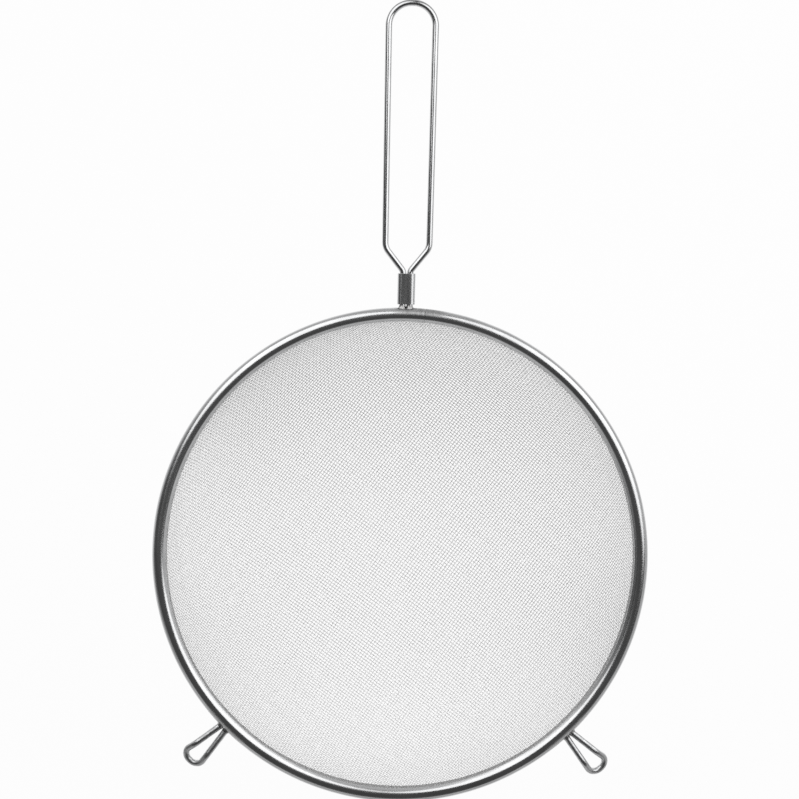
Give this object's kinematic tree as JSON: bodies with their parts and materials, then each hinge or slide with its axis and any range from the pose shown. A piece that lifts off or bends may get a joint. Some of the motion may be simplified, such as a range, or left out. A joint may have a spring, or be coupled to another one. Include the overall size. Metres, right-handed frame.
{
  "type": "mesh strainer",
  "caption": "Round bowl strainer of woven steel wire in a rolled rim, with a long looped wire handle and wire rests that span a pot or basin.",
  "frame": {"origin": "under the middle of the overall length, level with the lowest point of the bowl", "axes": "+Z out of the open mouth, +Y along the handle away from the bowl, +X across"},
  "size_m": [0.2, 0.3234, 0.0708],
  "materials": {
    "rim_steel": "polished stainless sheet with fine streaks round the rim",
    "core_steel": "drawn wire",
    "mesh_steel": "bright drawn wire cloth",
    "wire_steel": "polished drawn wire",
    "sleeve_steel": "polished pressed sheet with drawing lines along it"
  },
  "bodies": {
    "root": {"rim_band": "rim_steel", "rim_core_wire": "core_steel", "mesh_bowl": "mesh_steel", "handle_wire": "wire_steel", "handle_sleeve": "sleeve_steel", "rest_left": "wire_steel", "rest_right": "wire_steel"}
  },
  "joints": []
}
